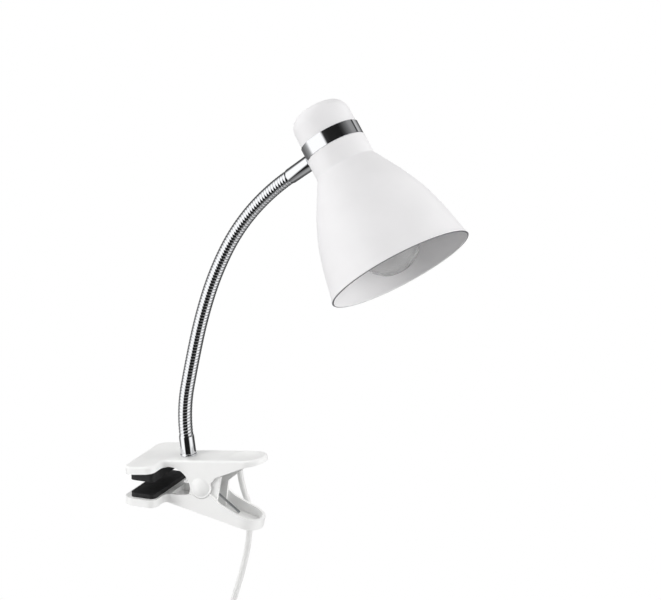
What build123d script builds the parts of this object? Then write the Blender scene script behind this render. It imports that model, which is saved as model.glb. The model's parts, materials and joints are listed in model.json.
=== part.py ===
import math
import os

from build123d import *

# Clip-on reading lamp. Lengths are in millimetres.
# The row's origin is the middle of the upper pad's contact face, with +X from the jaws to the
# handles, +Y away from the camera and +Z up. Everything is drawn about the clamp's pivot axis
# and moved by PIVOT when it is saved.

PIVOT = (41.0, 0.0, -4.5)

# clamp
UPPER_TILT = 6.5
LOWER_TILT = -12.0
GRIP = 10.0
WALL = 2.4
JAW_HALF = 33.0
BODY_HALF = 14.0
UPPER_TIP, UPPER_END, UPPER_TOP = -54.0, 50.0, 21.0
LOWER_TIP, LOWER_END, LOWER_OUT = -55.8, 49.5, -20.6
JAW_BACK = -29.0
TIP_ROUND = 8.5
END_ROUND = BODY_HALF - 1
EAR_R = 8.5
EAR_GAP = 0.4
INNER_EAR = (BODY_HALF - 5.4, BODY_HALF - 2.8)
PIN_R = 3.0
PIN_RUN = 0.05
CAP_R, CAP_RISE = 7.2, 2.2
PAD_LONG, PAD_HALF, PAD_CORNER = 20.0, 29.5, 4.0
SPRING_R, SPRING_WIRE, SPRING_Y, SPRING_LEG = 4.4, 1.8, 5.2, 28.0
STUD_X, STUD_R = -13.4, 4.9
RELIEF_X, RELIEF_Z = 13.5, 13.6
RELIEF_Y = BODY_HALF - 3.6

# gooseneck
NECK_R, NECK_ROOT, NECK_BORE = 5.3, 4.75, 2.3
NECK_SPAN = 38.57
NECK_TURNS = (17.7, 1.8, 5.8, 9.0, 13.2, 12.3)
NECK_RIBS = 16
BALL_R, BALL_GAP = 7.0, 0.3
FERRULE_LONG = 16.0
LEAD_R = 1.8

# head, along its own axis from the rim
HEAD_REACH = 44.1
HEAD_ROLL = -12.2
HEAD_CROSS = 102.9
SHADE = ((54.5, 0.0), (52.3, 9.3), (49.9, 22.0), (46.7, 34.6), (43.0, 45.6), (41.2, 50.0),
         (36.9, 59.6), (33.4, 66.3), (29.5, 72.9), (25.5, 80.4), (23.2, 84.0))
SHADE_WALL = 1.0
COLLAR_R = 22.8
BAND_R, SLEEVE = 22.6, 5.0
BAND_LOW, BAND_TOP = HEAD_CROSS - 2.2, HEAD_CROSS + 8.3
HOOD_R, HOOD_WALL, HOOD_TOP = 21.9, 0.9, BAND_TOP + 23.2

# lamp holder and lamp, down from the underside of the bracket's plate
HOLDER = HEAD_CROSS - 10.9
PLATE = 1.5
CAP_LOW, CAP_END = -41.0, -17.0
GLOBE_R, GLOBE_MID = 25.0, -68.5

# cord
CORD_R = 2.3
ELBOW_R, ELBOW_TURN = 16.0, 75.0
SWITCH = (7.4, 19.6, -153.0)
SWITCH_LONG, SWITCH_WIDE, SWITCH_DEEP = 54.0, 20.0, 15.0
COIL_OUT, COIL_STEP, COIL_TURNS, COIL_LAYER = 31.6, 5.2, 10.0, 2.5
COIL_DROP = 30.0
COIL_TAIL = 12.0

os.makedirs("parts", exist_ok=True)


def turned(x, z, degrees):
    s, c = math.sin(math.radians(degrees)), math.cos(math.radians(degrees))
    return x * c - z * s, x * s + z * c


def tilted(degrees):
    x, z = turned(1, 0, degrees)
    return Plane(origin=(0, 0, 0), x_dir=(x, 0, z), z_dir=(-z, 0, x)).location


UPPER = tilted(UPPER_TILT)
LOWER = tilted(LOWER_TILT)
CONTACT_UP = -PIVOT[2]
CONTACT_LOW = CONTACT_UP - GRIP


def save(name, shape):
    export_step(Pos(*PIVOT) * shape, f"parts/{name}.step")


def flat(x, z):
    return Vector(x, 0, z)


def slab(edges, half):
    return extrude(Face(Wire(edges)), amount=half, dir=(0, 1, 0), both=True)


def chain(*points):
    return [Line(flat(*a), flat(*b)) for a, b in zip(points, points[1:])]


def lathe(*points):
    ring = list(points) + [points[0]]
    return revolve(Face(Wire(chain(*ring))), Axis.Z)


def prism(x, y, z):
    box = Box(x[1] - x[0], y[1] - y[0], z[1] - z[0])
    return Pos((x[0] + x[1]) / 2, (y[0] + y[1]) / 2, (z[0] + z[1]) / 2) * box


def rod(radius, low, high):
    return Pos(0, 0, (low + high) / 2) * Cylinder(radius, high - low)


def rod_y(radius, low, high, x=0.0, z=0.0):
    return Pos(x, (low + high) / 2, z) * Rot(90, 0, 0) * Cylinder(radius, high - low)


def rod_x(radius, low, high, y=0.0, z=0.0):
    return Pos((low + high) / 2, y, z) * Rot(0, 90, 0) * Cylinder(radius, high - low)


def hex_nut(across, low, high, bore):
    body = extrude(RegularPolygon(across / 2, 6, major_radius=False), amount=high - low)
    return Pos(0, 0, low) * body - rod(bore, low - 1, high + 1)


def corners(sketch, x, y):
    return [v for v in sketch.vertices() if abs(v.X - x) < 0.01 and abs(abs(v.Y) - y) < 0.01]


def rounded_path(points, radii):
    points = [Vector(*p) for p in points]
    edges, last = [], points[0]
    for before, here, after, radius in zip(points, points[1:], points[2:], radii):
        a, b = (before - here).normalized(), (after - here).normalized()
        half = math.radians(a.get_angle(b)) / 2
        reach = radius / math.tan(half)
        middle = here + (a + b).normalized() * (radius / math.sin(half) - radius)
        edges += [Line(last, here + a * reach),
                  ThreePointArc(here + a * reach, middle, here + b * reach)]
        last = here + b * reach
    edges.append(Line(last, points[-1]))
    return Wire(edges)


def widest_radii(points):
    points = [Vector(*p) for p in points]
    radii = []
    for before, here, after in zip(points, points[1:], points[2:]):
        a, b = before - here, after - here
        turn = math.radians(180 - a.get_angle(b))
        radii.append(0.45 * min(a.length, b.length) / math.tan(turn / 2))
    return radii


def tube(path, radius):
    start = Plane(origin=path @ 0, z_dir=path % 0)
    return sweep(start * Circle(radius), path=path)


def biarc(p0, t0, p1, t1):
    v, t = p1 - p0, t0 + t1
    k = 2 * (1 - t0.dot(t1))
    d = (-v.dot(t) + math.sqrt(v.dot(t) ** 2 + k * v.dot(v))) / k
    q = (p0 + p1 + (t0 - t1) * d) * 0.5
    chord = (q - p0).normalized()
    onward = chord * (2 * t0.dot(chord)) - t0
    return [TangentArc(p0, q, tangent=t0), TangentArc(q, p1, tangent=onward)]


def jaw_plan(tip, end, tip_round, end_round):
    plan = Pos((tip + JAW_BACK) / 2, 0) * Rectangle(JAW_BACK - tip, 2 * JAW_HALF)
    plan += Pos((JAW_BACK - 6 + end) / 2, 0) * Rectangle(end - JAW_BACK + 6, 2 * BODY_HALF)
    plan = fillet(corners(plan, tip, JAW_HALF), tip_round)
    plan = fillet(corners(plan, JAW_BACK, JAW_HALF), 6)
    plan = fillet(corners(plan, JAW_BACK, BODY_HALF), 5)
    return fillet(corners(plan, end, BODY_HALF), end_round)


def lever_room(start, end, low, high):
    half = BODY_HALF - WALL
    plan = Pos((start + end) / 2, 0) * Rectangle(end - start, 2 * half)
    plan = fillet(corners(plan, end, half), END_ROUND - WALL)
    plan = fillet(corners(plan, start, half), 2)
    return Pos(0, 0, low) * extrude(plan, amount=high - low)


def upper_outer():
    ear = turned(EAR_R, 0, 15)
    edges = chain((UPPER_TIP, 14.9), (UPPER_TIP, UPPER_TOP), (UPPER_END, UPPER_TOP),
                  (UPPER_END, 16.8), (38, 15.7), (13, 7.4), ear)
    edges += [ThreePointArc(flat(*ear), flat(0, -EAR_R), flat(-EAR_R, 0)),
              ThreePointArc(flat(-EAR_R, 0), flat(-13.2, 11), flat(-27, 15.5))]
    edges += chain((-27, 15.5), (UPPER_TIP, 14.9))
    plan = extrude(jaw_plan(UPPER_TIP, UPPER_END, TIP_ROUND, END_ROUND), amount=60)
    body = slab(edges, JAW_HALF + 5) & Pos(0, 0, -20) * plan
    return fillet(body.faces().sort_by(Axis.Z)[-1].edges(), 1.8)


def pad_block(side, deep):
    sketch = RectangleRounded(PAD_LONG + 2 * side, 2 * (PAD_HALF + side), PAD_CORNER + side)
    return Pos(-PIVOT[0], 0, 0) * extrude(sketch, amount=deep)


def upper_pad(side=0.0):
    block = Pos(0, 0, CONTACT_UP) * pad_block(side, 20)
    return block & UPPER * prism((-70, 0), (-50, 50), (-20, 16.9))


def lower_pad(side=0.0):
    return Pos(0, 0, CONTACT_LOW - 4.5) * pad_block(side, 4.5)


def upper_jaw():
    ceiling = UPPER_TOP - WALL
    body = upper_outer()
    body -= lever_room(-24, UPPER_END - WALL, -20, ceiling)
    rib = chain((19.5, ceiling), (33, ceiling), (33, 12.4), (11, -2.6), (11, 10), (19.5, 10), (19.5, ceiling))
    body += Pos(0, 3.8, 0) * slab(rib, 1.2)
    body -= rod(STUD_R + 0.15, 10, 30).moved(Pos(STUD_X, 0, 0))
    body -= rod_y(PIN_R, -40, 40)
    body -= rod_y(3.75, 8, 20, RELIEF_X, RELIEF_Z)
    dish = Pos(33, 0, UPPER_TOP + 58.8) * Sphere(60)
    body -= dish & prism((10, UPPER_END - 1), (2 - BODY_HALF, BODY_HALF - 2), (15, 30))
    return UPPER * body - upper_pad(0.2)


def lower_lever():
    near = turned(EAR_R + EAR_GAP, 0, -18)
    far = turned(EAR_R + EAR_GAP, 0, -120)
    edges = chain((-27, LOWER_OUT), (LOWER_END, LOWER_OUT), (LOWER_END, -12.9), (44, -12.6),
                  (31, -10.9), (18.3, -8.2), near)
    edges += [ThreePointArc(flat(*near), flat(*turned(EAR_R + EAR_GAP, 0, -70)), flat(*far))]
    edges += chain(far, (-16.4, -11.9), (-27, -14.6), (-27, LOWER_OUT))
    plan = Pos((-27 + LOWER_END) / 2, 0) * Rectangle(LOWER_END + 27, 2 * BODY_HALF)
    plan = fillet(corners(plan, LOWER_END, BODY_HALF), END_ROUND)
    return slab(edges, 20) & Pos(0, 0, -40) * extrude(plan, amount=60)


def inner_ear(y, corner):
    edges = chain((-8.5, 3), (-9, -18.5), (14.5, -18.5), corner)
    edges += [ThreePointArc(flat(*corner), flat(4, 11.6), flat(-8.5, 3))]
    plate = slab(edges, (INNER_EAR[1] - INNER_EAR[0]) / 2)
    return Pos(0, y, 0) * plate


def lower_jaw():
    outer = lower_lever()
    body = outer - lever_room(-23, LOWER_END - WALL, LOWER_OUT + WALL, 30)
    middle = (INNER_EAR[0] + INNER_EAR[1]) / 2
    for side in (1, -1):
        y = sorted((side * (INNER_EAR[1] - 0.1), side * (INNER_EAR[1] + 0.8)))
        body += outer & prism((-9, 14.5), y, (-30, 20))
    body += inner_ear(middle, (12.4, 4.2))
    body += inner_ear(-middle, (13.5, 12.3))
    body -= rod_y(PIN_R + PIN_RUN, -40, 40)
    body = LOWER * body
    plan = jaw_plan(LOWER_TIP, -15.5, TIP_ROUND, 1)
    plate = Pos(0, 0, CONTACT_LOW - 9.3) * extrude(plan, amount=6)
    plate -= LOWER * prism((-60, 60), (-50, 50), (-60, LOWER_OUT)) & prism((JAW_BACK, 60), (-50, 50), (-60, 20))
    plate -= LOWER * lever_room(-23, 20, LOWER_OUT + WALL, 30)
    body += plate
    return body - lower_pad(0.2)


def pivot_caps():
    sphere_r = (CAP_R ** 2 + CAP_RISE ** 2) / (2 * CAP_RISE)
    dome = Pos(0, 0, CAP_RISE - sphere_r) * Sphere(sphere_r) & rod(CAP_R, 0, CAP_RISE + 1)
    near = Pos(0, -BODY_HALF, 0) * Rot(90, 0, 0) * dome
    far = Pos(0, BODY_HALF, 0) * Rot(-90, 0, 0) * dome
    return Compound([near, far])


def spring_half(foot, start, end):
    turn, middle = math.copysign(1, end - start), math.copysign(SPRING_WIRE / 2 + 0.1, foot.Y)
    steps = 9
    points, ways = [], []
    for i in range(steps + 1):
        angle = math.radians(start + (end - start) * i / steps)
        slope = 0 if i == 0 else (middle - foot.Y) / (math.radians(abs(end - start)) * SPRING_R)
        points.append(Vector(SPRING_R * math.cos(angle), foot.Y + (middle - foot.Y) * i / steps,
                             SPRING_R * math.sin(angle)))
        ways.append(Vector(-turn * math.sin(angle), slope, turn * math.cos(angle)).normalized())
    edges = [Line(foot, points[0])]
    for i in range(steps):
        edges += biarc(points[i], ways[i], points[i + 1], ways[i + 1])
    return tube(Wire(edges), SPRING_WIRE / 2)


# two halves side by side on the pin, so that each leg stays on its own lever
def torsion_spring():
    top = Vector(SPRING_LEG, -SPRING_Y, turned(SPRING_LEG, UPPER_TOP - WALL, UPPER_TILT)[1] - 1.1)
    low_x, low_z = turned(SPRING_LEG, LOWER_OUT + WALL, LOWER_TILT)
    low = Vector(low_x, SPRING_Y, low_z + 1.0)
    reach = lambda p: math.degrees(math.acos(SPRING_R / math.hypot(p.X, p.Z)))
    first = math.degrees(math.atan2(top.Z, top.X)) + reach(top)
    last = math.degrees(math.atan2(low.Z, low.X)) - reach(low) + 360 * 5
    return spring_half(top, first, (first + last) / 2), spring_half(low, last, (first + last) / 2)


def base_ferrule():
    body = lathe((NECK_BORE, 14), (STUD_R, 14), (STUD_R, UPPER_TOP), (6.3, UPPER_TOP), (6.3, UPPER_TOP + 1.5),
                 (6.0, UPPER_TOP + 2.2), (5.7, UPPER_TOP + FERRULE_LONG - 1), (5.4, UPPER_TOP + FERRULE_LONG),
                 (NECK_BORE, UPPER_TOP + FERRULE_LONG))
    return UPPER * Pos(STUD_X, 0, 0) * body


def base_washer():
    ring = lathe((STUD_R + 0.1, 17.6), (8, 17.6), (8, UPPER_TOP - WALL), (STUD_R + 0.1, UPPER_TOP - WALL))
    return UPPER * Pos(STUD_X, 0, 0) * ring


def base_nut():
    return UPPER * Pos(STUD_X, 0, 0) * hex_nut(14, 14.6, 17.6, STUD_R)


def clamp_lead():
    points = [(STUD_X, 0, UPPER_TOP + FERRULE_LONG - 0.3), (STUD_X, 0, 8.7), (2.5, 0, 9.3),
              (RELIEF_X, 1.5, RELIEF_Z), (RELIEF_X, RELIEF_Y - 0.2, RELIEF_Z)]
    return UPPER * tube(rounded_path(points, [5, 12, 4]), LEAD_R)


RELIEF = Vector(*[turned(RELIEF_X, RELIEF_Z, UPPER_TILT)[0], 0, turned(RELIEF_X, RELIEF_Z, UPPER_TILT)[1]])
ELBOW_Y = BODY_HALF + 1.5


def elbow(angle):
    a = math.radians(angle)
    point = RELIEF + Vector(0, ELBOW_Y + ELBOW_R * math.sin(a), -ELBOW_R * (1 - math.cos(a)))
    return Plane(origin=point, x_dir=(1, 0, 0), z_dir=(0, math.cos(a), -math.sin(a)))


def cord_route():
    corner = RELIEF + Vector(0, ELBOW_Y + ELBOW_R * math.tan(math.radians(ELBOW_TURN / 2)), 0)
    out = elbow(ELBOW_TURN)
    first = out.origin + out.z_dir * 16
    x, y, z = SWITCH
    route = [RELIEF + Vector(0, RELIEF_Y, 0), corner, first, Vector(18.5, 34.6, -27), Vector(19.4, 33.6, -43),
             Vector(18.6, 30.6, -61), Vector(15.2, 26.6, -80), Vector(10.8, 22.8, -98),
             Vector(x, y, z + SWITCH_LONG / 2 + 12), Vector(x, y, z + SWITCH_LONG / 2 - 6)]
    return [tuple(p) for p in route]


def cord_upper():
    route = cord_route()
    radii = [ELBOW_R] + widest_radii(route)[1:]
    print("cord bend radii", [round(r, 1) for r in radii])
    return tube(rounded_path(route, radii), CORD_R)


def strain_relief():
    angles = [ELBOW_TURN * i / 5 for i in range(6)]
    sleeve = loft([elbow(a) * Circle(4.4 - 1.4 * a / ELBOW_TURN) for a in angles])
    hole_at = (RELIEF.X, RELIEF.Z)
    body = sleeve + rod_y(5.4, BODY_HALF, ELBOW_Y, *hole_at) + rod_y(3.6, RELIEF_Y + 0.6, BODY_HALF + 0.2, *hole_at)
    body += rod_y(4.6, RELIEF_Y, BODY_HALF - WALL - 0.1, *hole_at)
    route = cord_route()
    hole = rounded_path([(RELIEF.X, 5, RELIEF.Z), route[1], route[2]], [ELBOW_R])
    return body - tube(hole, CORD_R + 0.05)


def neck_stations():
    x, z = turned(STUD_X, UPPER_TOP + FERRULE_LONG, UPPER_TILT)
    angle = -UPPER_TILT
    stations = [(x, z, angle)]
    for turn in NECK_TURNS:
        radius = NECK_SPAN / math.radians(turn)
        a, b = math.radians(angle), math.radians(angle + turn)
        x += radius * (math.cos(a) - math.cos(b))
        z += radius * (math.sin(b) - math.sin(a))
        angle += turn
        stations.append((x, z, angle))
    return stations


STATIONS = neck_stations()


def neck_plane(span, along):
    x, z, angle = STATIONS[span]
    turn = math.radians(NECK_TURNS[span]) * along / NECK_SPAN
    radius = NECK_SPAN / math.radians(NECK_TURNS[span])
    a = math.radians(angle)
    b = a + turn
    origin = (x + radius * (math.cos(a) - math.cos(b)), 0, z + radius * (math.sin(b) - math.sin(a)))
    return Plane(origin=origin, x_dir=(0, 1, 0), z_dir=(math.sin(b), 0, math.cos(b)))


def neck_path(span, start, end):
    mid = neck_plane(span, (start + end) / 2)
    return Wire([ThreePointArc(neck_plane(span, start).origin, mid.origin, neck_plane(span, end).origin)])


def gooseneck_span(span):
    pitch = NECK_SPAN / NECK_RIBS
    rings = []
    for rib in range(NECK_RIBS):
        for share, radius in ((0, NECK_ROOT), (0.2, NECK_R), (0.7, NECK_R), (0.9, NECK_ROOT)):
            rings.append(neck_plane(span, (rib + share) * pitch) * Circle(radius))
    rings.append(neck_plane(span, NECK_SPAN) * Circle(NECK_R))
    body = loft(rings, ruled=True) - tube(neck_path(span, -1, NECK_SPAN + 1), NECK_BORE)
    if span > 0:
        body -= Pos(*neck_plane(span, 0).origin) * Sphere(BALL_R + BALL_GAP)
    if span == len(NECK_TURNS) - 1:
        return body
    rim, mouth = (math.sqrt(BALL_R ** 2 - r ** 2) for r in (NECK_R, NECK_BORE))
    slope = (math.atan2(rim, NECK_R) + math.atan2(mouth, NECK_BORE)) / 2
    edges = chain((NECK_BORE, mouth), (NECK_BORE, 0), (NECK_R, 0), (NECK_R, rim))
    edges.append(ThreePointArc(flat(NECK_R, rim), flat(*turned(BALL_R, 0, math.degrees(slope))),
                               flat(NECK_BORE, mouth)))
    return body + neck_plane(span, NECK_SPAN).location * revolve(Face(Wire(edges)), Axis.Z)


def neck_lead(span):
    start = 0.3 if span == 0 else BALL_R + 0.8
    if span == len(NECK_TURNS) - 1:
        bend = neck_path(span, start, NECK_SPAN).edges()[0]
        run = Line(bend @ 1, HEAD * Vector(-13.4, 0, HEAD_CROSS))
        return tube(Wire([bend, run]), LEAD_R)
    path = neck_path(span, start, NECK_SPAN).edges()[0]
    return tube(Wire([path, Line(path @ 1, path @ 1 + (path % 1) * (BALL_R - 0.8))]), LEAD_R)


def head_frame():
    x, z, angle = STATIONS[-1]
    s, c = math.sin(math.radians(angle)), math.cos(math.radians(angle))
    roll = math.radians(HEAD_ROLL)
    axis = Vector(c * math.cos(roll), math.sin(roll), -s * math.cos(roll))
    cross = Vector(x, 0, z) + Vector(s, 0, c) * HEAD_REACH
    return Plane(origin=cross + axis * HEAD_CROSS, x_dir=(s, 0, c), z_dir=axis * -1)


class Frame:
    def __init__(self, plane):
        self.plane = plane

    def __mul__(self, item):
        if isinstance(item, Vector):
            return self.plane.from_local_coords(item)
        return self.plane.location * item


HEAD = Frame(head_frame())


def spigot_hole(radius):
    return rod_x(radius, -26, -16, 0, HEAD_CROSS)


def shade():
    outer = [flat(r, z) for r, z in SHADE]
    inner = [flat(r - SHADE_WALL * 1.08, z) for r, z in SHADE]
    low, bend = SHADE[0], SHADE[-1]
    skin = Spline(*outer)
    lining = Spline(*inner)
    top = BAND_LOW
    edges = [skin, Line(outer[-1], flat(COLLAR_R, bend[1])), Line(flat(COLLAR_R, bend[1]), flat(COLLAR_R, top)),
             Line(flat(COLLAR_R, top), flat(COLLAR_R - SHADE_WALL, top)),
             Line(flat(COLLAR_R - SHADE_WALL, top), flat(COLLAR_R - SHADE_WALL, bend[1])),
             Line(flat(COLLAR_R - SHADE_WALL, bend[1]), inner[-1]), lining, Line(inner[0], outer[0])]
    return revolve(Face(Wire(edges)), Axis.Z) - spigot_hole(4.3)


def chrome_band():
    low, top = COLLAR_R - SHADE_WALL - 0.2, HOOD_R - HOOD_WALL - 0.2
    bore = top - 0.8
    ring = lathe((bore, BAND_LOW - SLEEVE), (low, BAND_LOW - SLEEVE), (low, BAND_LOW), (BAND_R, BAND_LOW),
                 (BAND_R, BAND_TOP), (top, BAND_TOP), (top, BAND_TOP + SLEEVE), (bore, BAND_TOP + SLEEVE))
    return ring - spigot_hole(4.3)


def hood_edges(side):
    radius, top, turn = HOOD_R - side, HOOD_TOP - side, 11.0 - side
    reach = radius - turn
    ball = (reach ** 2 + 0.8 ** 2) / 1.6
    crown = flat(reach / 2, top - ball + math.sqrt(ball ** 2 - reach ** 2 / 4))
    shoulder = flat(reach, top - 0.8)
    middle = flat(radius - turn * (1 - math.sqrt(0.5)), top - 0.8 - turn * (1 - math.sqrt(0.5)))
    side_top = flat(radius, top - 0.8 - turn)
    return [Line(flat(radius, BAND_TOP), side_top), ThreePointArc(side_top, middle, shoulder),
            ThreePointArc(shoulder, crown, flat(0, top))]


def rear_hood():
    outer, inner = hood_edges(0), hood_edges(HOOD_WALL)
    edges = outer + [Line(outer[-1] @ 1, inner[-1] @ 1)] + inner + [Line(inner[0] @ 0, outer[0] @ 0)]
    return revolve(Face(Wire(edges)), Axis.Z)


def head_ferrule():
    start, face = -HEAD_REACH, -COLLAR_R - 0.05
    edges = chain((NECK_BORE, start), (5.4, start), (5.7, start + 1), (6.0, face), (4.0, face), (4.0, -13),
                  (NECK_BORE, -13), (NECK_BORE, start))
    body = revolve(Face(Wire(edges)), Axis.Z)
    return Pos(0, 0, HEAD_CROSS) * Rot(0, 90, 0) * body


def head_nut():
    return Pos(0, 0, HEAD_CROSS) * Rot(0, 90, 0) * hex_nut(12, -17.45, -13.45, 4.0)


def holder_bracket():
    cross = HEAD_CROSS - HOLDER
    arm = prism((-19, -17.5), (-5.5, 5.5), (0, cross + 6.1)) + prism((-19, 9), (-7, 7), (0, PLATE))
    arm -= rod(5.1, -2, PLATE + 1.5)
    return arm - rod_x(4.2, -25, -10, 0, cross)


def holder_nipple():
    return lathe((2.3, -8), (5, -8), (5, PLATE + 3.9), (2.3, PLATE + 3.9))


def holder_nut():
    return hex_nut(14, PLATE, PLATE + 3.5, 5.0)


def lampholder_body():
    return lathe((7.7, -38), (12.6, -38), (13.5, -37), (13.5, -24), (12.9, -23), (12.9, -4), (10, 0), (5.0, 0),
                 (5.0, -8), (2.3, -8), (2.3, -12), (7.7, -12))


def holder_shell():
    return lathe((7.1, -37), (7.65, -37), (7.65, -13), (7.1, -13))


def holder_contact():
    return lathe((0, -13.6), (3.4, -13.6), (3.4, -12), (0, -12))


def head_lead():
    cross = HEAD_CROSS - HOLDER
    points = [(-12.6, 0, cross), (0, 0, cross), (0, 0, -11.8)]
    return tube(rounded_path(points, [5]), LEAD_R)


def globe_edges(side):
    ball, join = GLOBE_R - side, math.radians(50)
    neck = flat(ball * math.cos(join), GLOBE_MID + ball * math.sin(join))
    slope, end = flat(10.2 - side, CAP_LOW - 3.4), flat(6.7 - side, CAP_LOW)
    return [ThreePointArc(flat(0, GLOBE_MID - ball), flat(ball, GLOBE_MID), neck), Line(neck, slope),
            Line(slope, end)]


def bulb_globe():
    outer, inner = globe_edges(0), globe_edges(0.9)
    edges = outer + [Line(outer[-1] @ 1, inner[-1] @ 1)] + inner + [Line(inner[0] @ 0, outer[0] @ 0)]
    return revolve(Face(Wire(edges)), Axis.Z)


def bulb_cap():
    first, last = CAP_LOW + 2.2, CAP_END - 1.8
    points = [(0, last), (5.6, last), (5.6, CAP_LOW), (6.6, CAP_LOW), (6.6, first)]
    for turn in range(7):
        low = first + 2.82 * turn
        points += [(6.2, low + 0.5), (6.2, low + 1.1), (6.85, low + 1.7), (6.85, low + 2.2)]
    points += [(6.2, CAP_END - 1.4), (5.2, CAP_END), (0, CAP_END)]
    return lathe(*points)


def bulb_contact():
    return lathe((0, CAP_END), (5.0, CAP_END), (3, CAP_END + 2.2), (2.4, CAP_END + 3.3), (0, CAP_END + 3.3))


def switch_shell():
    x, z = SWITCH_WIDE, SWITCH_LONG
    outer = extrude(Plane.XZ * RectangleRounded(x, z, 8), amount=SWITCH_DEEP / 2, both=True)
    outer = fillet(outer.faces().sort_by(Axis.Y)[0].edges() + outer.faces().sort_by(Axis.Y)[-1].edges(), 2.4)
    room = extrude(Plane.XZ * RectangleRounded(x - 3.6, z - 3.6, 6.2), amount=SWITCH_DEEP / 2 - 1.8, both=True)
    shell = outer - room - rod(CORD_R + 0.05, -40, 40)
    bosses = [Pos(s * 5.6, 0, t * 19) * Rot(90, 0, 0) * Cylinder(2.0, SWITCH_DEEP - 3) for s, t in ((1, 1), (-1, -1))]
    for boss in bosses:
        shell += boss
    return shell


def switch_halves():
    shell = switch_shell()
    front = shell & prism((-20, 20), (-20, 0), (-60, 60))
    back = shell & prism((-20, 20), (0, 20), (-60, 60))
    front -= prism((-4.6, 4.6), (-10, -5), (-8, 8))
    for side in (1, -1):
        front += prism((side * 5.5 - 0.8, side * 5.5 + 0.8), (-6, -2.4), (-2.5, 2.5))
    front -= rod_x(1.25, -6.8, 6.8, -4)
    for s, t in ((1, 1), (-1, -1)):
        back -= rod_y(1.1, -1, 9, s * 5.6, t * 19)
        back -= rod_y(1.9, 6.2, 9, s * 5.6, t * 19)
        front -= rod_y(1.0, -4.5, 1, s * 5.6, t * 19)
    return front, back


def switch_rocker():
    edges = chain((-3.2, 6.8), (-3.2, -6.8), (-8.7, -7.0)) + \
        [ThreePointArc(flat(-8.7, -7.0), flat(-7.9, 0), flat(-8.7, 7.0))] + chain((-8.7, 7.0), (-3.2, 6.8))
    body = Rot(0, 0, 90) * slab(edges, 4.2)
    return body + rod_x(1.2, -6.1, 6.1, -4)


def switch_screws():
    screw = rod_y(1.0, -4.3, 6.3) + rod_y(1.8, 6.2, 7.2) - prism((-2, 2), (6.8, 8), (-0.25, 0.25))
    return [Pos(s * 5.6, 0, t * 19) * screw for s, t in ((1, 1), (-1, -1))]


def coil_radius(turn):
    share = (turn / COIL_LAYER) % 2
    return COIL_OUT - COIL_STEP * COIL_LAYER * (share if share <= 1 else 2 - share)


def coil_layer(turn):
    layer = 0
    for k in range(1, 4):
        share = min(max(turn - (k * COIL_LAYER - 0.25), 0) / 0.5, 1)
        layer += share * share * (3 - 2 * share)
    return layer


def coil_point(turn):
    x, y, z = SWITCH
    angle, radius = 2 * math.pi * turn, coil_radius(turn)
    return Vector(x - COIL_OUT + radius * math.cos(angle), y + COIL_STEP * coil_layer(turn),
                  z - SWITCH_LONG / 2 - COIL_DROP - radius * math.sin(angle))


def coil_way(turn):
    if turn in (0, COIL_TURNS):
        return Vector(0, 0, -1)
    step = 0.001
    return (coil_point(turn + step) - coil_point(turn - step)).normalized()


def cord_coil():
    quarter = 0.25
    count = int(COIL_TURNS / quarter)
    first, last = coil_point(0), coil_point(COIL_TURNS)
    edges = [Line(first + Vector(0, 0, 2 * CORD_R), first)]
    for i in range(count):
        a, b = i * quarter, (i + 1) * quarter
        edges += biarc(coil_point(a), coil_way(a), coil_point(b), coil_way(b))
    edges.append(Line(last, last - Vector(0, 0, COIL_TAIL + 6)))
    path = Wire(edges)
    print("coil length", round(path.length))
    return tube(path, CORD_R)


def cord_lower():
    x, y, z = SWITCH
    low = z - SWITCH_LONG / 2
    return Pos(x, y, 0) * rod(CORD_R, low - COIL_DROP + 2 * CORD_R, low + 6)


def coil_tie():
    x, y, z = SWITCH
    centre = (x - COIL_OUT - 23.6, y + 1.5 * COIL_STEP, z - SWITCH_LONG / 2 - COIL_DROP)
    inner = RectangleRounded(16.4, 21.2, 3)
    outer = RectangleRounded(18.8, 23.6, 4.2)
    return Pos(*centre) * extrude(outer - inner, amount=3, both=True)


def plug_body():
    last = coil_point(COIL_TURNS)
    top = last.Z - COIL_TAIL
    neck = loft([Pos(0, 0, 0) * Circle(3.4), Pos(0, 0, -6) * Circle(3.8), Pos(0, 0, -12) * Circle(5.4)], ruled=True)
    edges = chain((-6.5, -11), (6.5, -11), (11, -14), (15.5, -22), (17.6, -33), (17.6, -42), (-17.6, -42),
                  (-17.6, -33), (-15.5, -22), (-11, -14), (-6.5, -11))
    block = slab(edges, 6.8)
    block = fillet(block.edges().filter_by(Axis.Y).group_by(Axis.Z)[0], 3)
    block = chamfer(block.faces().sort_by(Axis.Y)[0].edges() + block.faces().sort_by(Axis.Y)[-1].edges(), 1.4)
    body = block + neck
    for side in (1, -1):
        body += Pos(side * 9.3, 0, 0) * rod(2.0, -52, -41)
        body -= Pos(side * 9.3, 0, 0) * rod(1.3, -53, -36)
    body -= rod(CORD_R + 0.05, -6, 1)
    return Pos(last.X, last.Y, top) * Rot(0, 0, 90) * body


def plug_pins():
    last = coil_point(COIL_TURNS)
    place = Pos(last.X, last.Y, last.Z - COIL_TAIL) * Rot(0, 0, 90)
    pin = rod(1.3, -53, -36.5) + lathe((0, -61), (1.2, -61), (2.0, -60.2), (2.0, -52), (0, -52))
    return [place * Pos(side * 9.3, 0, 0) * pin for side in (1, -1)]


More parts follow.
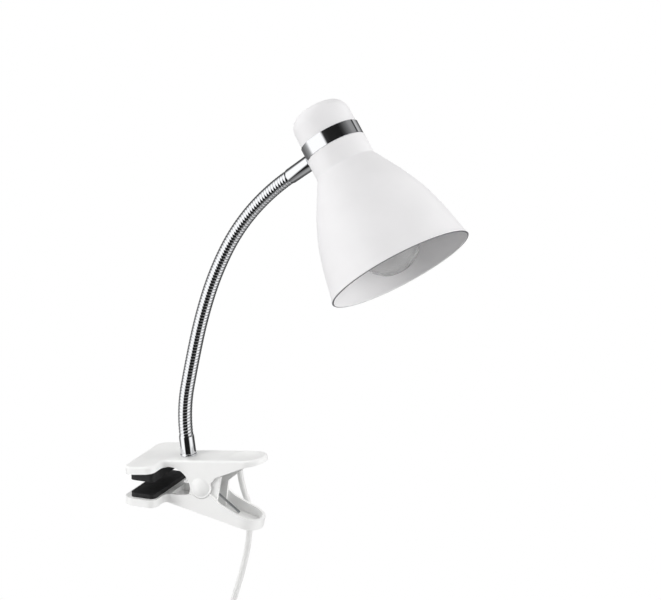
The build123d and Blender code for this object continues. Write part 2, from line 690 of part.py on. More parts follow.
save("upper_jaw", upper_jaw())
save("lower_jaw", lower_jaw())
save("upper_pad", upper_pad())
save("lower_pad", lower_pad())
save("pivot_pin", rod_y(PIN_R, -BODY_HALF, BODY_HALF))
save("pivot_caps", pivot_caps())
for name, half in zip(("spring_upper", "spring_lower"), torsion_spring()):
    save(name, half)
save("base_ferrule", base_ferrule())
save("base_washer", base_washer())
save("base_nut", base_nut())
save("clamp_lead", clamp_lead())
save("strain_relief", strain_relief())
for span in range(len(NECK_TURNS)):
    save(f"gooseneck_span_{span + 1}", gooseneck_span(span))
    save(f"neck_lead_{span + 1}", neck_lead(span))
for name, solid in (("shade", shade()), ("chrome_band", chrome_band()), ("rear_hood", rear_hood()),
                    ("head_ferrule", head_ferrule()), ("head_nut", head_nut())):
    save(name, HEAD * solid)
for name, solid in (("head_lead", head_lead()), ("holder_bracket", holder_bracket()),
                    ("holder_nipple", holder_nipple()), ("holder_nut", holder_nut()),
                    ("lampholder_body", lampholder_body()), ("holder_shell", holder_shell()),
                    ("holder_contact", holder_contact()), ("bulb_globe", bulb_globe()),
                    ("bulb_cap", bulb_cap()), ("bulb_contact", bulb_contact())):
    save(name, HEAD * (Pos(0, 0, HOLDER) * solid))
front, back = switch_halves()
save("switch_front", Pos(*SWITCH) * front)
save("switch_back", Pos(*SWITCH) * back)
save("switch_rocker", Pos(*SWITCH) * switch_rocker())
save("switch_screws", Compound([Pos(*SWITCH) * screw for screw in switch_screws()]))
save("cord_upper", cord_upper())
save("cord_lower", cord_lower())
save("cord_coil", cord_coil())
save("coil_tie", coil_tie())
save("plug_body", plug_body())
save("plug_pins", Compound(plug_pins()))

frame = HEAD.plane
print("head origin", [round(frame.origin.X + PIVOT[0], 3), round(frame.origin.Y, 3), round(frame.origin.Z + PIVOT[2], 3)])
print("head x", [round(v, 5) for v in frame.x_dir], "head z", [round(v, 5) for v in frame.z_dir])
for x, z, angle in STATIONS:
    print("station", round(x + PIVOT[0], 3), round(z + PIVOT[2], 3), round(angle, 3))
print("coil end", [round(v, 2) for v in coil_point(COIL_TURNS) + Vector(*PIVOT)])
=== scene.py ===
import json
import math
import bpy
from mathutils import Matrix, Vector


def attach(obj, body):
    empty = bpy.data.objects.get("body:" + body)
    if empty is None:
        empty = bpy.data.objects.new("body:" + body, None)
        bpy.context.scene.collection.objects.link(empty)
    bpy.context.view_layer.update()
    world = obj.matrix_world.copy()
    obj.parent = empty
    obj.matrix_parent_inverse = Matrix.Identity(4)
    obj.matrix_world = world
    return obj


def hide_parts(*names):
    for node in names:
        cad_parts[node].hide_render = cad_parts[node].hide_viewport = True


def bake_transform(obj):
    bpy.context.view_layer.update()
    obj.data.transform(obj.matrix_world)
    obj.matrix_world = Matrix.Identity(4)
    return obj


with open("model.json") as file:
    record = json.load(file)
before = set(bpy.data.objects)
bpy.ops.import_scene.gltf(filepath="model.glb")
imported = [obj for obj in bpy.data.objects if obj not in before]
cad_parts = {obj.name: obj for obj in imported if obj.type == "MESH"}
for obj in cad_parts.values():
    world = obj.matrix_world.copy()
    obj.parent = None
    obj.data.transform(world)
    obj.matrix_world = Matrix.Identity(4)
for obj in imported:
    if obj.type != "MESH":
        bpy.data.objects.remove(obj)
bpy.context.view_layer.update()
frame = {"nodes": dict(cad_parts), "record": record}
bpy.ops.object.select_all(action="DESELECT")
mm = 0.001
print("frame loaded:", len(frame["nodes"]), "nodes")


# small helpers: colour, nodes, and the ways a surface varies
def linear(hexColour):
    parts = [int(hexColour[i:i + 2], 16) / 255 for i in (1, 3, 5)]
    return [p / 12.92 if p <= 0.04045 else ((p + 0.055) / 1.055) ** 2.4 for p in parts] + [1.0]


def addNode(tree, kind, settings=None, links=None):
    node = tree.nodes.new(kind)
    for key, value in (settings or {}).items():
        if key in node.inputs:
            node.inputs[key].default_value = value
        else:
            setattr(node, key, value)
    for key, socket in (links or {}).items():
        tree.links.new(socket, node.inputs[key])
    return node


# the colour drifts between two shades, in soft patches of a real size
def mottle(tree, shader, place, shades, patch):
    cloud = addNode(tree, "ShaderNodeTexNoise", {"Scale": 1 / patch, "Detail": 3.0}, {"Vector": place})
    ramp = addNode(tree, "ShaderNodeValToRGB", None, {"Fac": cloud.outputs["Fac"]})
    for mark, position, shade in zip(ramp.color_ramp.elements, (0.35, 0.65), shades):
        mark.position, mark.color = position, linear(shade)
    tree.links.new(ramp.outputs["Color"], shader.inputs["Base Color"])


# the roughness drifts between two values, as handling and making leave it
def wander(tree, shader, place, rough, patch):
    cloud = addNode(tree, "ShaderNodeTexNoise", {"Scale": 1 / patch, "Detail": 2.0}, {"Vector": place})
    spread = addNode(tree, "ShaderNodeMapRange",
                     {"From Min": 0.3, "From Max": 0.7, "To Min": rough[0], "To Max": rough[1]},
                     {"Value": cloud.outputs["Fac"]})
    tree.links.new(spread.outputs["Result"], shader.inputs["Roughness"])


# a fine grain that stands up from the surface
def skin(tree, shader, place, grain, depth, relief):
    height = addNode(tree, "ShaderNodeTexNoise", {"Scale": 1 / grain, "Detail": 2.0}, {"Vector": place})
    bump = addNode(tree, "ShaderNodeBump", {"Strength": relief, "Distance": depth},
                   {"Height": height.outputs["Fac"]})
    tree.links.new(bump.outputs["Normal"], shader.inputs["Normal"])


def makeFinish(finish):
    material = bpy.data.materials.new(finish["name"])
    material.use_nodes = True
    tree = material.node_tree
    shader = tree.nodes["Principled BSDF"]
    shader.inputs["Base Color"].default_value = linear(finish["colour"])
    shader.inputs["Roughness"].default_value = finish["rough"][0]
    shader.inputs["Metallic"].default_value = finish.get("metal", 0.0)
    for key, value in finish.get("glassy", {}).items():
        shader.inputs[key].default_value = value
    place = addNode(tree, "ShaderNodeTexCoord").outputs["Object"]
    if "shades" in finish:
        mottle(tree, shader, place, finish["shades"], finish["patch"])
    if "haze" in finish:
        wander(tree, shader, place, finish["rough"], finish["haze"])
    if "grain" in finish:
        skin(tree, shader, place, finish["grain"], finish["depth"], finish["relief"])
    return material


# the finishes by slot: patch, haze and grain are the sizes of their patterns
finishSheets = {
    # powder-coated steel: an even white with a faint orange peel that softens the highlights
    "white_enamel": {
        "name": "satinEnamel", "colour": "#ECEBEC", "shades": ("#EAE9EA", "#EEEDEE"), "patch": 36 * mm,
        "rough": (0.46, 0.54), "haze": 17 * mm, "grain": 1.6 * mm, "depth": 0.03 * mm, "relief": 0.25},
    # the rolled rim painted dull grey: partly the bare sheet edge, partly a painted shade line along the edge
    "rim_shade_grey": {
        "name": "rimShadeGrey", "colour": "#6A6A6D", "shades": ("#626265", "#747477"), "patch": 5.5 * mm,
        "rough": (0.42, 0.58), "haze": 5 * mm},
    # moulded polypropylene: slightly milky white with a smooth mould finish
    "white_plastic": {
        "name": "mouldedWhite", "colour": "#F4F4F3", "shades": ("#F2F2F1", "#F6F6F5"), "patch": 22 * mm,
        "rough": (0.28, 0.38), "haze": 11 * mm, "grain": 0.9 * mm, "depth": 0.02 * mm, "relief": 0.2,
        "glassy": {"IOR": 1.49}},
    # bright chrome plate: nearly a mirror, with the faint haze of handling
    "chrome": {
        "name": "brightChrome", "colour": "#DCDDDF", "metal": 1.0, "rough": (0.05, 0.09), "haze": 7 * mm},
    "neck_chrome": {
        "name": "neckChrome", "colour": "#DCDDDF", "metal": 1.0, "rough": (0.05, 0.1), "haze": 7 * mm},
    # nitrile rubber: deep black, dull, with a fine moulded grain
    "black_rubber": {
        "name": "padRubber", "colour": "#1A1A1B", "shades": ("#171718", "#1F1F20"), "patch": 6 * mm,
        "rough": (0.55, 0.7), "haze": 4.5 * mm, "grain": 0.8 * mm, "depth": 0.08 * mm, "relief": 0.5},
    # thin opal glass, unlit: the lining and the cap behind it show through, blurred
    "opal_glass": {
        "name": "opalGlass", "colour": "#F7F7F7", "shades": ("#F5F5F5", "#F9F9F9"), "patch": 25 * mm,
        "rough": (0.15, 0.2), "haze": 20 * mm, "glassy": {"IOR": 1.52, "Transmission Weight": 0.94}},
    # PVC sheath: soft white with a low sheen
    "cord_sheath": {
        "name": "cordSheath", "colour": "#E7E7E6", "shades": ("#E4E4E3", "#EAEAE9"), "patch": 8 * mm,
        "rough": (0.4, 0.5), "haze": 5.5 * mm, "grain": 1.2 * mm, "depth": 0.03 * mm, "relief": 0.25},
    # PVC-coated tie wire: duller and a shade greyer than the cord
    "tie_plastic": {
        "name": "tieCoat", "colour": "#DADAD8", "shades": ("#D6D6D4", "#DEDEDC"), "patch": 6.5 * mm,
        "rough": (0.5, 0.6), "haze": 5 * mm},
    # zinc-plated steel: grey and a little cloudy
    "zinc_steel": {
        "name": "zincSteel", "colour": "#B9BABD", "shades": ("#AEB0B4", "#C4C5C7"), "patch": 4 * mm,
        "metal": 1.0, "rough": (0.28, 0.44), "haze": 3.3 * mm},
    # nickel-plated brass: pale and warm, with a soft polish
    "brass": {
        "name": "nickelBrass", "colour": "#CFC7B2", "shades": ("#C7BEA6", "#D6CFBD"), "patch": 5 * mm,
        "metal": 1.0, "rough": (0.18, 0.3), "haze": 4 * mm},
    # heat-resistant thermoset of the lamp holder: chalky off-white
    "holder_plastic": {
        "name": "holderThermoset", "colour": "#DEDDD8", "shades": ("#DAD9D3", "#E2E1DD"), "patch": 6.5 * mm,
        "rough": (0.48, 0.62), "haze": 5 * mm, "grain": 0.7 * mm, "depth": 0.04 * mm, "relief": 0.4},
}
finishes = {slot: makeFinish(finish) for slot, finish in finishSheets.items()}
print("materials made:", len(finishes))

for part in frame["record"]["subparts"]:
    node = frame["nodes"][part["node"]]
    node.data.materials.clear()
    node.data.materials.append(finishes[part["material_slot"]])
print("finishes on the frame's nodes")


def dress(piece, name, body, slot, *nodes):
    piece.name = name
    piece.data.name = name
    piece.data.materials.clear()
    piece.data.materials.append(finishes[slot])
    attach(piece, body)
    if nodes:
        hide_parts(*nodes)
    bpy.ops.object.select_all(action="DESELECT")
    return piece


# a turned piece: a circle drawn up the profile ring by ring, each ring at (radius, height) in mm
def turnPiece(profile, sides, plugged):
    bpy.ops.object.select_all(action="DESELECT")
    radius, height = profile[0]
    bpy.ops.mesh.primitive_circle_add(vertices=sides, radius=radius * mm, location=(0, 0, height * mm),
                                      fill_type="TRIFAN" if plugged else "NOTHING")
    piece = bpy.context.object
    bpy.ops.object.transform_apply(location=True, rotation=True, scale=True)
    bpy.ops.object.mode_set(mode="EDIT")
    bpy.ops.mesh.select_all(action="SELECT")
    if plugged:
        bpy.ops.mesh.region_to_loop()
    for (r0, z0), (r1, z1) in zip(profile, profile[1:]):
        bpy.ops.mesh.extrude_edges_move(TRANSFORM_OT_translate={"value": (0, 0, (z1 - z0) * mm)})
        if r1 > 0.01:
            bpy.ops.transform.resize(value=(r1 / r0, r1 / r0, 1), center_override=(0, 0, z1 * mm))
        else:
            bpy.ops.mesh.merge(type="CENTER")
    bpy.ops.mesh.select_all(action="SELECT")
    bpy.ops.mesh.remove_doubles(threshold=0.01 * mm)
    bpy.ops.mesh.normals_make_consistent(inside=False)
    bpy.ops.object.mode_set(mode="OBJECT")
    return piece


def smoothOut(piece, levels):
    modifier = piece.modifiers.new("rounding", "SUBSURF")
    modifier.levels = modifier.render_levels = levels
    bpy.context.view_layer.objects.active = piece
    bpy.ops.object.modifier_apply(modifier=modifier.name)
    bpy.ops.object.select_all(action="DESELECT")
    piece.select_set(True)
    bpy.ops.object.shade_smooth()


def seat(piece, matrix):
    bpy.ops.object.select_all(action="DESELECT")
    piece.select_set(True)
    bpy.context.view_layer.objects.active = piece
    piece.matrix_world = matrix
    bpy.ops.object.transform_apply(location=True, rotation=True, scale=True)


# where the head and the neck's foot stand in the frame: origin in metres, then the way across and the way up
def frameMatrix(origin, across, up):
    x, z = Vector(across).normalized(), Vector(up).normalized()
    y = z.cross(x)
    return Matrix(((x.x, y.x, z.x, origin[0]), (x.y, y.y, z.y, origin[1]),
                   (x.z, y.z, z.z, origin[2]), (0, 0, 0, 1)))


headPlace = frameMatrix((0.204391, -0.021745, 0.182958), (0.80178, 0, 0.59763), (-0.58413, 0.21132, 0.78367))
footPlace = frameMatrix((0.027686, 0, -0.006017), (0.993572, 0, 0.113203), (-0.113203, 0, 0.993572))


# the bell shade: one spun sheet, outside and lining, with its rolled rim and straight collar;
# below a height, where the rim turns outwards by more than a share, it is painted dull grey: a painted shade
# line, partly the bare sheet edge
shadePiece = {
    "outside": [(54.75, 0.8), (54.7, 1.3), (54.35, 1.75), (54.0, 2.4), (52.3, 9.3), (49.9, 22.0),
                (46.7, 34.6), (43.0, 45.6), (41.2, 50.0), (36.9, 59.6), (33.4, 66.3), (29.5, 72.9),
                (25.5, 80.4), (23.7, 83.4), (23.1, 84.2), (22.83, 84.8), (22.8, 86.5), (22.8, 99.5),
                (22.78, 100.3), (22.5, 100.65)],
    "lining": [(22.0, 100.65), (21.82, 100.3), (21.8, 99.5), (21.8, 86.5), (21.9, 84.4), (22.5, 82.6),
               (24.4, 80.4), (28.4, 72.9), (32.3, 66.3), (35.8, 59.6), (40.1, 50.0), (41.9, 45.6),
               (45.6, 34.6), (48.8, 22.0), (51.2, 9.3), (52.85, 2.4), (52.9, 1.2), (53.05, 0.5),
               (53.4, 0.1), (53.9, -0.05), (54.4, 0.15), (54.75, 0.8)],
    "shadeLineBelow": 0.42, "shadeLineOutward": -0.35, "sides": 64, "rounding": 2,
}
shade = turnPiece(shadePiece["outside"] + shadePiece["lining"], shadePiece["sides"], False)
smoothOut(shade, shadePiece["rounding"])
# the rim faces that take the dull grey: a painted shade line along the rolled edge
shadeLineFaces = []
for face in shade.data.polygons:
    outward = (face.normal.x * face.center.x + face.normal.y * face.center.y) / face.center.xy.length
    if face.center.z < shadePiece["shadeLineBelow"] * mm and outward > shadePiece["shadeLineOutward"]:
        shadeLineFaces.append(face.index)
seat(shade, headPlace)
dress(shade, "bellShade", "head", "white_enamel", "shade")
# the second finish paints the shade line onto those rim faces
shade.data.materials.append(finishes["rim_shade_grey"])
for index in shadeLineFaces:
    shade.data.polygons[index].material_index = 1
print("bell shade turned")

# the mirror band between shade and hood, with its edges just broken, and the sleeve inside both
bandPiece = {
    "profile": [(20.0, 95.7), (21.6, 95.7), (21.6, 100.6), (21.65, 100.7), (22.45, 100.7), (22.6, 100.85),
                (22.6, 101.2), (22.6, 110.7), (22.6, 111.05), (22.45, 111.2), (20.85, 111.2), (20.8, 111.3),
                (20.8, 116.2), (20.0, 116.2), (20.0, 95.7)],
    "sides": 192, "crease": 30,
}
band = turnPiece(bandPiece["profile"], bandPiece["sides"], False)
bpy.ops.object.shade_smooth_by_angle(angle=math.radians(bandPiece["crease"]))
seat(band, headPlace)
dress(band, "mirrorBand", "head", "chrome", "chrome_band")
print("mirror band turned")

# the domed hood behind the band, drawn from the inside of its crown out over the edge to the top
hoodPiece = {
    "radius": 21.9, "low": 111.2, "top": 134.4, "turn": 11.0, "wall": 0.9, "lip": 0.8, "arcStep": 15,
    "edge": [(21.02, 111.45), (21.2, 111.2), (21.7, 111.2), (21.88, 111.45)],
    "crown": [(6.0, 0.2), (1.6, 0.0)], "sides": 64, "rounding": 2,
}


def hoodSide(inset):
    radius, turn = hoodPiece["radius"] - inset, hoodPiece["turn"] - inset
    centre = hoodPiece["top"] - hoodPiece["lip"] - hoodPiece["turn"]
    arc = []
    for angle in range(0, 91, hoodPiece["arcStep"]):
        way = math.radians(angle)
        arc.append((radius - turn + turn * math.cos(way), centre + turn * math.sin(way)))
    crown = [(r, hoodPiece["top"] - inset - fall) for r, fall in hoodPiece["crown"]]
    return [(radius, hoodPiece["low"] + hoodPiece["lip"])] + arc + crown


hoodProfile = list(reversed(hoodSide(hoodPiece["wall"]))) + hoodPiece["edge"]
hoodProfile += hoodSide(0) + [(0, hoodPiece["top"])]
hood = turnPiece(hoodProfile, hoodPiece["sides"], True)
smoothOut(hood, hoodPiece["rounding"])
seat(hood, headPlace)
dress(hood, "domedHood", "head", "white_enamel", "rear_hood")
print("domed hood turned")

# the opal globe lamp in the shade, blown thin: up the inside from the tip to the neck, and down the outside
globePiece = {
    "radius": 25.0, "middle": 23.5, "wall": 0.9, "innerTip": -86, "tip": -70, "shoulder": 50, "arcStep": 10,
    "bore": [(12.6, 44.2), (9.5, 46.9), (7.3, 48.9), (6.05, 50.1), (5.8, 50.6), (5.8, 51.0)],
    "neck": [(6.5, 51.0), (6.75, 50.6), (8.0, 49.6), (10.2, 47.6), (13.3, 44.9)], "sides": 48, "rounding": 2,
}


def globeSide(inset, angles):
    radius = globePiece["radius"] - inset
    ways = [math.radians(angle) for angle in angles]
    return [(radius * math.cos(way), globePiece["middle"] + radius * math.sin(way)) for way in ways]


globeArc = list(range(globePiece["tip"], globePiece["shoulder"] + 1, globePiece["arcStep"]))
globeProfile = globeSide(globePiece["wall"], [globePiece["innerTip"]] + globeArc) + globePiece["bore"]
globeProfile += globePiece["neck"] + globeSide(0, reversed(globeArc))
globeProfile.append((0, globePiece["middle"] - globePiece["radius"]))
globe = turnPiece(globeProfile, globePiece["sides"], True)
smoothOut(globe, globePiece["rounding"])
seat(globe, headPlace)
dress(globe, "opalGlobe", "bulb", "opal_glass", "bulb_globe")
print("globe lamp turned")

# the two smooth ferrules at the neck's ends; the upper one lies across the head, so many mm above its mouth
footPiece = {
    "profile": [(2.4, 14.0), (4.9, 14.0), (4.9, 20.95), (6.15, 21.0), (6.3, 21.15), (6.3, 22.3), (6.22, 22.5),
                (5.95, 22.8), (5.88, 23.2), (5.7, 35.8), (5.62, 36.5), (5.3, 36.95), (2.4, 37.0), (0, 37.0)],
    "sides": 96, "crease": 30,
}
foot = turnPiece(footPiece["profile"], footPiece["sides"], True)
bpy.ops.object.shade_smooth_by_angle(angle=math.radians(footPiece["crease"]))
seat(foot, footPlace)
dress(foot, "neckFoot", "clamp", "chrome", "base_ferrule")
topPiece = {
    "profile": [(2.4, -44.1), (5.15, -44.1), (5.4, -43.9), (5.62, -43.2), (5.7, -42.6), (5.97, -23.8),
                (5.9, -23.15), (5.6, -22.85), (4.0, -22.85), (4.0, -13.0), (2.4, -13.0), (0, -13.0)],
    "aboveMouth": 102.9, "sides": 96, "crease": 30,
}
topFerrule = turnPiece(topPiece["profile"], topPiece["sides"], True)
bpy.ops.object.shade_smooth_by_angle(angle=math.radians(topPiece["crease"]))
seat(topFerrule, headPlace @ Matrix.Translation((0, 0, topPiece["aboveMouth"] * mm))
     @ Matrix.Rotation(math.radians(90), 4, "Y"))
dress(topFerrule, "neckTop", "neck_6", "chrome", "head_ferrule")
print("ferrules turned")

# the bendable neck: one flattened wire wound close and laid along the bend, in lengths that meet in the
# middle of each span; a station is where spans meet, as x and z in mm and the lean in degrees
neckPiece = {
    "stations": [(23.498, 30.745, -6.5), (25.073, 69.13, 11.2), (33.158, 106.841, 13.0),
                 (43.72, 143.92, 18.8), (58.96, 179.308, 27.8), (80.703, 211.062, 41.0),
                 (108.926, 237.243, 53.3)],
    "bodies": ["clamp", "neck_2", "neck_3", "neck_4", "neck_5", "neck_6"],
    "span": 38.57, "outside": 5.3, "wire": 1.3, "flat": 0.45, "crown": 0.5, "corners": 16,
    "turnsInSpan": 16, "stepsInTurn": 28, "bendReach": 13.0,
}


def neckPoint(along):
    span = min(int(along / neckPiece["span"]), len(neckPiece["bodies"]) - 1)
    x, z, lean = neckPiece["stations"][span]
    turn = math.radians(neckPiece["stations"][span + 1][2] - lean)
    radius = neckPiece["span"] / turn
    start = math.radians(lean)
    here = start + turn * (along - span * neckPiece["span"]) / neckPiece["span"]
    return Vector((x + radius * (math.cos(start) - math.cos(here)), 0,
                   z + radius * (math.sin(here) - math.sin(start)))) * mm


def windNeck(low, high):
    pitch = neckPiece["span"] / neckPiece["turnsInSpan"]
    turns = round((high - low) / pitch)
    line = bpy.data.curves.new("neckLine", "CURVE")
    line.dimensions = "3D"
    line.twist_mode = "Z_UP"
    spline = line.splines.new("POLY")
    steps = turns * 2
    spline.points.add(steps)
    for i in range(steps + 1):
        p = neckPoint(low + (high - low) * i / steps)
        spline.points[i].co = (p.x, p.z, 0, 1)
    guide = bpy.data.objects.new("neckLine", line)
    bpy.context.collection.objects.link(guide)
    bpy.ops.object.select_all(action="DESELECT")
    bpy.ops.mesh.primitive_circle_add(vertices=neckPiece["corners"], radius=neckPiece["wire"] * mm)
    wire = bpy.context.object
    for corner in wire.data.vertices:
        rise = corner.co.y / (neckPiece["wire"] * mm)
        corner.co.y = math.copysign(abs(rise) ** neckPiece["crown"], rise) * neckPiece["wire"] * mm
    wire.scale = (1, neckPiece["flat"], 1)
    wire.location = (0, (neckPiece["outside"] - neckPiece["wire"] * neckPiece["flat"]) * mm, 0)
    bpy.ops.object.transform_apply(location=True, rotation=True, scale=True)
    winding = wire.modifiers.new("winding", "SCREW")
    winding.axis, winding.screw_offset, winding.iterations = "X", pitch * mm, turns
    winding.steps = winding.render_steps = neckPiece["stepsInTurn"]
    bpy.ops.object.modifier_apply(modifier=winding.name)
    bending = wire.modifiers.new("bending", "CURVE")
    bending.object, bending.deform_axis = guide, "POS_X"
    bpy.ops.object.modifier_apply(modifier=bending.name)
    bpy.data.objects.remove(guide)
    bpy.ops.object.shade_smooth()
    seat(wire, Matrix.Rotation(math.radians(90), 4, "X"))
    wire.data.materials.clear()
    wire.data.materials.append(finishes["neck_chrome"])
    return wire


spans = len(neckPiece["bodies"])
half = neckPiece["span"] / 2
for k in range(spans + 1):
    piece = windNeck(max(0, (2 * k - 1) * half), min(2 * spans * half, (2 * k + 1) * half))
    piece.name = piece.data.name = f"woundNeck{k + 1}"
    if k < spans:
        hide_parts(f"gooseneck_span_{k + 1}")
    if k in (0, spans):
        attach(piece, neckPiece["bodies"][0 if k == 0 else -1])
    else:
        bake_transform(piece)
bpy.ops.object.select_all(action="DESELECT")
print("neck wound in seven lengths")

# the free cord, from the sleeve on the clamp down to the switch, and from the switch through the coil
# to the plug; the coil winds in and out in flat layers, each layer one step behind the last
cordPiece = {
    "diameter": 4.6,
    "toSwitch": [(52.874, 10.4, 10.541), (52.874, 27.777, 10.541), (52.874, 35.096, -16.773),
                 (59.5, 34.6, -31.5), (60.4, 33.6, -47.5), (59.6, 30.6, -65.5), (56.2, 26.6, -84.5),
                 (51.8, 22.8, -102.5), (48.4, 19.6, -118.5), (48.4, 19.6, -136.5)],
    "switchFoot": (48.4, 19.6, -178.5), "drops": (0, 14, 28), "tail": (7.0, 18.0),
    "coilMiddle": -214.5, "coilOut": 31.6, "coilStep": 5.2, "coilTurns": 10, "turnsInLayer": 2.5, "layers": 4,
    "climb": 0.5, "pointsInTurn": 14,
    "swell": 1.012,  # the curve cuts inside its points, so they lie further out
}


def runCord(name, points):
    line = bpy.data.curves.new(name, "CURVE")
    line.dimensions = "3D"
    line.resolution_u = 8
    line.bevel_depth = cordPiece["diameter"] / 2 * mm
    line.bevel_resolution = 5
    line.use_fill_caps = True
    spline = line.splines.new("NURBS")
    spline.points.add(len(points) - 1)
    for point, co in zip(spline.points, points):
        point.co = (co[0] * mm, co[1] * mm, co[2] * mm, 1)
    spline.order_u = 3
    spline.use_endpoint_u = True
    cord = bpy.data.objects.new(name, line)
    bpy.context.collection.objects.link(cord)
    return cord


def coilRadius(turn):
    share = (turn / cordPiece["turnsInLayer"]) % 2
    inward = share if share <= 1 else 2 - share
    return cordPiece["coilOut"] - cordPiece["coilStep"] * cordPiece["turnsInLayer"] * inward


def coilLayer(turn):
    layer = 0
    for k in range(1, cordPiece["layers"]):
        start = k * cordPiece["turnsInLayer"] - cordPiece["climb"] / 2
        share = min(max(turn - start, 0) / cordPiece["climb"], 1)
        layer += share * share * (3 - 2 * share)
    return layer


def coilPoint(turn):
    x, y, z = cordPiece["switchFoot"]
    radius = coilRadius(turn) * cordPiece["swell"]
    way = 2 * math.pi * turn
    return (x - cordPiece["coilOut"] + radius * math.cos(way), y + cordPiece["coilStep"] * coilLayer(turn),
            cordPiece["coilMiddle"] - radius * math.sin(way))


upperCord = dress(runCord("cordToSwitch", cordPiece["toSwitch"]), "cordToSwitch", "clamp", "cord_sheath",
                  "cord_upper")
footX, footY, footZ = cordPiece["switchFoot"]
lowerPoints = [(footX, footY, footZ - drop) for drop in cordPiece["drops"]]
coilPoints = cordPiece["pointsInTurn"] * cordPiece["coilTurns"]
lowerPoints += [coilPoint(i / cordPiece["pointsInTurn"]) for i in range(coilPoints + 1)]
lastX, lastY, lastZ = lowerPoints[-1]
lowerPoints += [(lastX, lastY, lastZ - drop) for drop in cordPiece["tail"]]
lowerCord = dress(runCord("cordToPlug", lowerPoints), "cordToPlug", "clamp", "cord_sheath",
                  "cord_lower", "cord_coil")
print("cord run through switch and coil")

# studio: a grey floor that the camera sees as white, an even sky, and the panels that the chrome mirrors,
# in rings, each stop a share of the way round and a brightness; rings blend between two heights
studio = {
    "floorDrop": 0.2885, "floorSize": 30.0, "paper": "#B4B4B4", "sky": 0.62, "panelLight": 1.38,
    "highPanels": [(0.0, 0.4), (0.02, 0.8), (0.04, 1.0), (0.205, 1.0), (0.222, 0.03), (0.26, 0.015),
                   (0.43, 0.01), (0.48, 0.035), (0.53, 0.1), (0.575, 0.17), (0.61, 0.26), (0.655, 0.27),
                   (0.665, 0.03), (0.678, 0.03), (0.69, 0.54), (0.735, 0.54), (0.755, 0.26), (0.8, 0.2),
                   (0.86, 0.05), (0.94, 0.05), (0.98, 0.2), (1.0, 0.4)],
    "lowPanels": [(0.0, 0.25), (0.03, 0.4), (0.062, 1.0), (0.188, 1.0), (0.213, 0.01), (0.4, 0.01),
                  (0.445, 1.0), (0.53, 1.0), (0.575, 0.4), (0.6, 0.1), (0.63, 0.05), (0.75, 0.05),
                  (0.8, 0.08), (0.83, 0.15), (0.93, 0.12), (0.97, 0.2), (1.0, 0.25)],
    "underPanels": [(0.0, 0.05), (0.2, 0.06), (0.25, 0.18), (0.3, 0.28), (0.45, 0.35), (0.6, 0.22),
                    (0.72, 0.09), (0.8, 0.05), (1.0, 0.05)],
    "overhead": 0.95,
    "underToLow": (-0.85, -0.6), "lowToHigh": (-0.05, 0.35), "highToOverhead": (0.82, 0.95),
    "boxAim": (0.1, 0, 0.08),
    "boxes": [("leftBox", (-1.22, -1.31, 0.48), (1.0, 1.4), 21),
              ("rightBox", (1.94, 0.25, 0.48), (1.0, 1.4), 23),
              ("backBox", (-1.0, 1.0, 1.2), (0.8, 0.8), 9)],
}


def paperWhite():
    material = makeFinish({"name": "backgroundPaper", "colour": studio["paper"], "rough": (0.9, 0.9)})
    tree = material.node_tree
    paper = tree.nodes["Principled BSDF"]
    white = addNode(tree, "ShaderNodeEmission", {"Color": (1, 1, 1, 1), "Strength": 1.0})
    rays = addNode(tree, "ShaderNodeLightPath")
    seen = addNode(tree, "ShaderNodeMath", {"operation": "MAXIMUM"},
                   {0: rays.outputs["Is Camera Ray"], 1: rays.outputs["Is Transmission Ray"]})
    mix = addNode(tree, "ShaderNodeMixShader", None,
                  {0: seen.outputs[0], 1: paper.outputs["BSDF"], 2: white.outputs["Emission"]})
    tree.links.new(mix.outputs["Shader"], tree.nodes["Material Output"].inputs["Surface"])
    return material


bpy.ops.mesh.primitive_plane_add(size=studio["floorSize"], location=(0, 0, -studio["floorDrop"]))
floor = bpy.context.object
floor.name = "paperFloor"
floor.data.materials.append(paperWhite())
floor.visible_glossy = False
bpy.ops.object.select_all(action="DESELECT")

world = bpy.data.worlds.new("studioSky")
bpy.context.scene.world = world
world.use_nodes = True
skyTree = world.node_tree
sky = skyTree.nodes["Background"]
sky.inputs["Color"].default_value = (1, 1, 1, 1)
sky.inputs["Strength"].default_value = studio["sky"]
plain = addNode(skyTree, "ShaderNodeBackground", {"Color": (1, 1, 1, 1), "Strength": 1.0})
toward = addNode(skyTree, "ShaderNodeSeparateXYZ", None,
                 {"Vector": addNode(skyTree, "ShaderNodeTexCoord").outputs["Generated"]})
bearing = addNode(skyTree, "ShaderNodeMath", {"operation": "ARCTAN2"},
                  {0: toward.outputs["Y"], 1: toward.outputs["X"]})
share = addNode(skyTree, "ShaderNodeMapRange", {"From Min": -math.pi, "From Max": math.pi},
                {"Value": bearing.outputs[0]})


def panelRing(stops):
    ring = addNode(skyTree, "ShaderNodeValToRGB", None, {"Fac": share.outputs["Result"]})
    marks = ring.color_ramp.elements
    for i, (place, level) in enumerate(stops):
        mark = marks[0] if i == 0 else marks[-1] if i == len(stops) - 1 else marks.new(place)
        mark.position, mark.color = place, (level, level, level, 1)
    return ring.outputs["Color"]


def blendUp(low, high, heights):
    height = addNode(skyTree, "ShaderNodeMapRange", {"From Min": heights[0], "From Max": heights[1]},
                     {"Value": toward.outputs["Z"]})
    mix = addNode(skyTree, "ShaderNodeMixRGB", None, {"Fac": height.outputs["Result"]})
    for key, level in (("Color1", low), ("Color2", high)):
        if isinstance(level, float):
            mix.inputs[key].default_value = (level, level, level, 1)
        else:
            skyTree.links.new(level, mix.inputs[key])
    return mix.outputs["Color"]


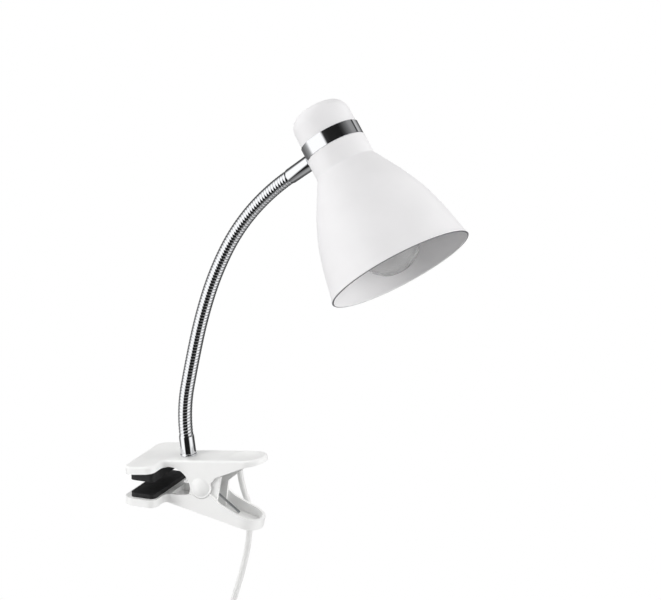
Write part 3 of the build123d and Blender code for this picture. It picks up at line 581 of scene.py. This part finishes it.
panels = blendUp(panelRing(studio["lowPanels"]), panelRing(studio["highPanels"]), studio["lowToHigh"])
panels = blendUp(panels, studio["overhead"], studio["highToOverhead"])
panels = blendUp(panelRing(studio["underPanels"]), panels, studio["underToLow"])
mirrored = addNode(skyTree, "ShaderNodeBackground", {"Strength": studio["panelLight"]}, {"Color": panels})
rays = addNode(skyTree, "ShaderNodeLightPath")
lit = addNode(skyTree, "ShaderNodeMixShader", None,
              {0: rays.outputs["Is Glossy Ray"], 1: sky.outputs["Background"],
               2: mirrored.outputs["Background"]})
seen = addNode(skyTree, "ShaderNodeMath", {"operation": "MAXIMUM"},
               {0: rays.outputs["Is Camera Ray"], 1: rays.outputs["Is Transmission Ray"]})
backdrop = addNode(skyTree, "ShaderNodeMixShader", None,
                   {0: seen.outputs[0], 1: lit.outputs["Shader"], 2: plain.outputs["Background"]})
skyTree.links.new(backdrop.outputs["Shader"], skyTree.nodes["World Output"].inputs["Surface"])

for name, place, size, power in studio["boxes"]:
    bpy.ops.object.light_add(type="AREA", location=place)
    lamp = bpy.context.object
    lamp.name = name
    lamp.data.shape = "RECTANGLE"
    lamp.data.size, lamp.data.size_y = size
    lamp.data.energy = power
    lamp.visible_glossy = False  # the chrome mirrors the panels, not the lamps
    lamp.rotation_euler = (Vector(studio["boxAim"]) - Vector(place)).to_track_quat("-Z", "Y").to_euler()
print("studio lit")

view = {
    "place": (0.9381, -1.8959, 0.7188), "azimuth": 22.8, "elevation": 15.5,
    "pixels": 2937.0, "width": 661, "sensor": 36.0, "farthest": 100,
}
bpy.ops.object.camera_add(location=view["place"])
camera = bpy.context.object
az, el = math.radians(view["azimuth"]), math.radians(view["elevation"])
look = Vector((-math.sin(az) * math.cos(el), math.cos(az) * math.cos(el), -math.sin(el)))
camera.rotation_euler = look.to_track_quat("-Z", "Y").to_euler()
camera.data.sensor_fit = "HORIZONTAL"
camera.data.sensor_width = view["sensor"]
camera.data.lens = view["pixels"] / view["width"] * view["sensor"]
camera.data.clip_end = view["farthest"]
bpy.context.scene.camera = camera
bpy.context.scene.view_settings.view_transform = "Standard"
bpy.ops.object.select_all(action="DESELECT")
print("camera set")
